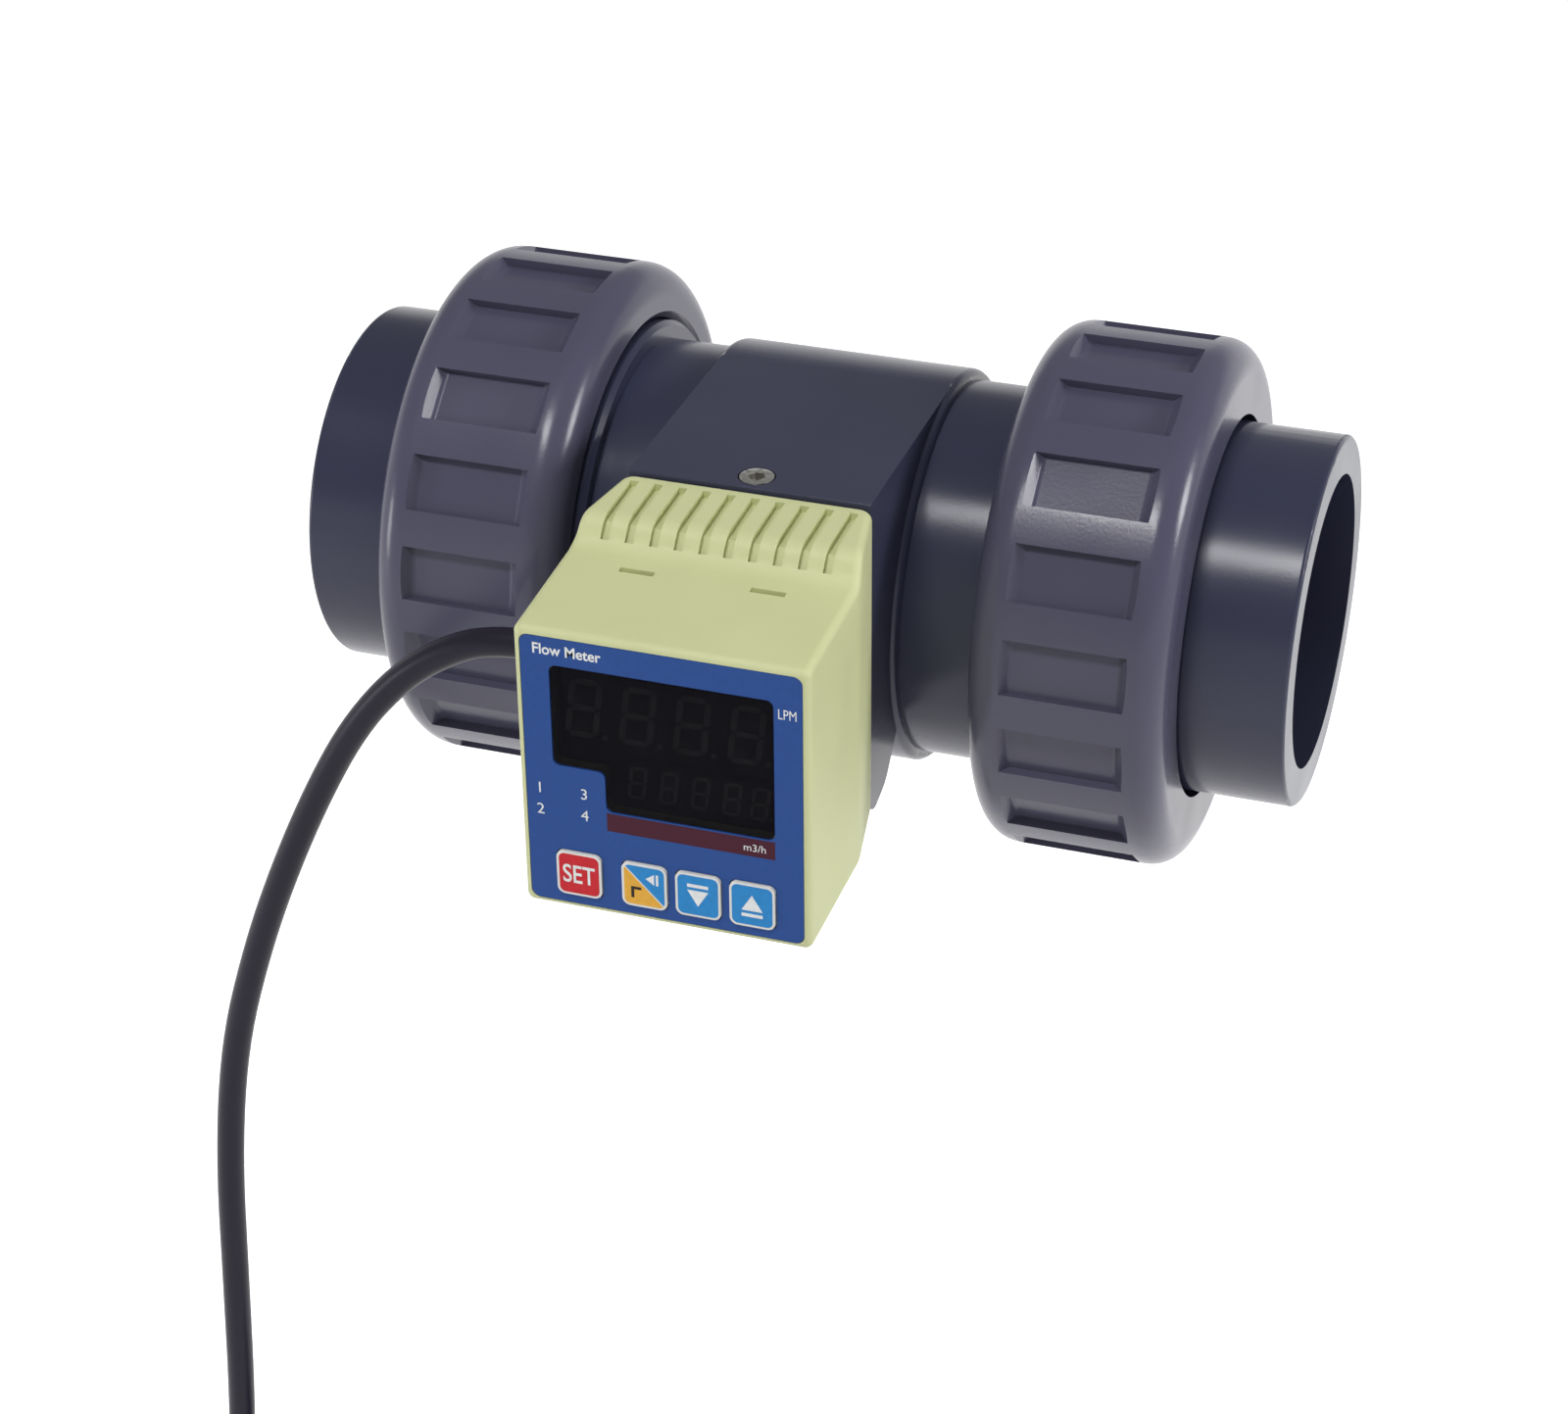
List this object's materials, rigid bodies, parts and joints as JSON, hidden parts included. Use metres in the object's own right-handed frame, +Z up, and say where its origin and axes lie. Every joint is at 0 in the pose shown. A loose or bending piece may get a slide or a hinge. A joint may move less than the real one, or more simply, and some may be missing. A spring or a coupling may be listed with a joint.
{
  "type": "paddle wheel flow meter",
  "caption": "In-line paddle wheel flow meter: union-ended grey plastic pipe body with a vented display head, keys and a signal cable.",
  "frame": {"origin": "centre of the inlet socket's mouth", "axes": "+X runs with the flow along the pipe axis, -Y is the display side, +Z is up"},
  "size_m": [0.1884, 0.1324, 0.289],
  "materials": {
    "grey_pvc": "satin moulded",
    "seal_rubber": "matte",
    "white_plastic": "satin moulded",
    "magnet": "plated",
    "steel": "bright",
    "black_plastic": "satin moulded",
    "board": "solder mask",
    "pale_green_plastic": "satin moulded",
    "blue_print": "printed sheet",
    "smoked_lens": "polished",
    "red_key": "printed",
    "blue_key": "printed",
    "digit_module": "satin moulded",
    "terminal_green": "satin moulded",
    "cable_jacket": "satin",
    "copper_lead": "stripped"
  },
  "bodies": {
    "inlet_end": {"inlet_end_connector": "grey_pvc"},
    "inlet_nut": {"inlet_union_nut": "grey_pvc"},
    "meter": {"inlet_o_ring": "seal_rubber", "outlet_o_ring": "seal_rubber", "meter_body": "grey_pvc", "sensor_insert": "grey_pvc", "insert_o_rings": "seal_rubber", "rotor_axle": "steel", "hall_sensor": "black_plastic", "sensor_board": "board", "lock_screw": "steel", "insert_ring_nut": "black_plastic", "case_shell": "pale_green_plastic", "back_plate": "pale_green_plastic", "front_overlay": "blue_print", "display_window": "smoked_lens", "upper_digits": "digit_module", "lower_digits": "digit_module", "front_board": "board", "key_switches": "black_plastic", "board_screws": "steel", "rear_board": "board", "board_header": "black_plastic", "terminal_block": "terminal_green", "cable_gland": "black_plastic", "gland_nut": "black_plastic", "cable_tail": "cable_jacket", "signal_cable": "cable_jacket", "cable_coil": "cable_jacket", "cable_tie": "black_plastic", "lead_ends": "copper_lead"},
    "outlet_end": {"outlet_end_connector": "grey_pvc"},
    "outlet_nut": {"outlet_union_nut": "grey_pvc"},
    "rotor": {"paddle_wheel": "white_plastic", "rotor_magnets": "magnet"},
    "set_key": {"set_key": "red_key"},
    "shift_key": {"shift_key": "blue_key"},
    "down_key": {"down_key": "blue_key"},
    "up_key": {"up_key": "blue_key"}
  },
  "joints": [
    {"name": "inlet_nut_turn", "type": "hinge", "parent": "inlet_end", "child": "inlet_nut", "pos_m": [0.034, 0, 0], "axis": [-1, 0, 0], "range_deg": [0, 1260]},
    {"name": "meter_travel", "type": "slide", "parent": "inlet_end", "child": "meter", "axis": [1, 0, 0], "range_m": [0, 0.014]},
    {"name": "outlet_end_travel", "type": "slide", "parent": "meter", "child": "outlet_end", "axis": [1, 0, 0], "range_m": [0, 0.014]},
    {"name": "outlet_nut_turn", "type": "hinge", "parent": "outlet_end", "child": "outlet_nut", "pos_m": [0.138, 0, 0], "axis": [1, 0, 0], "range_deg": [0, 1260]},
    {"name": "rotor_spin", "type": "hinge", "parent": "meter", "child": "rotor", "pos_m": [0.086, -0.0145, 0], "axis": [0, 0, 1], "continuous": true},
    {"name": "set_press", "type": "slide", "parent": "meter", "child": "set_key", "axis": [0, 1, 0], "range_m": [0, 0.0004], "stiffness_N_per_m": 1500, "springref_m": -0.0006},
    {"name": "shift_press", "type": "slide", "parent": "meter", "child": "shift_key", "axis": [0, 1, 0], "range_m": [0, 0.0004], "stiffness_N_per_m": 1500, "springref_m": -0.0006},
    {"name": "down_press", "type": "slide", "parent": "meter", "child": "down_key", "axis": [0, 1, 0], "range_m": [0, 0.0004], "stiffness_N_per_m": 1500, "springref_m": -0.0006},
    {"name": "up_press", "type": "slide", "parent": "meter", "child": "up_key", "axis": [0, 1, 0], "range_m": [0, 0.0004], "stiffness_N_per_m": 1500, "springref_m": -0.0006}
  ],
  "couplings": [
    {"joint": "meter_travel", "follows": "inlet_nut_turn", "m_per_rad": 0.000636},
    {"joint": "outlet_end_travel", "follows": "outlet_nut_turn", "m_per_rad": 0.000636}
  ]
}
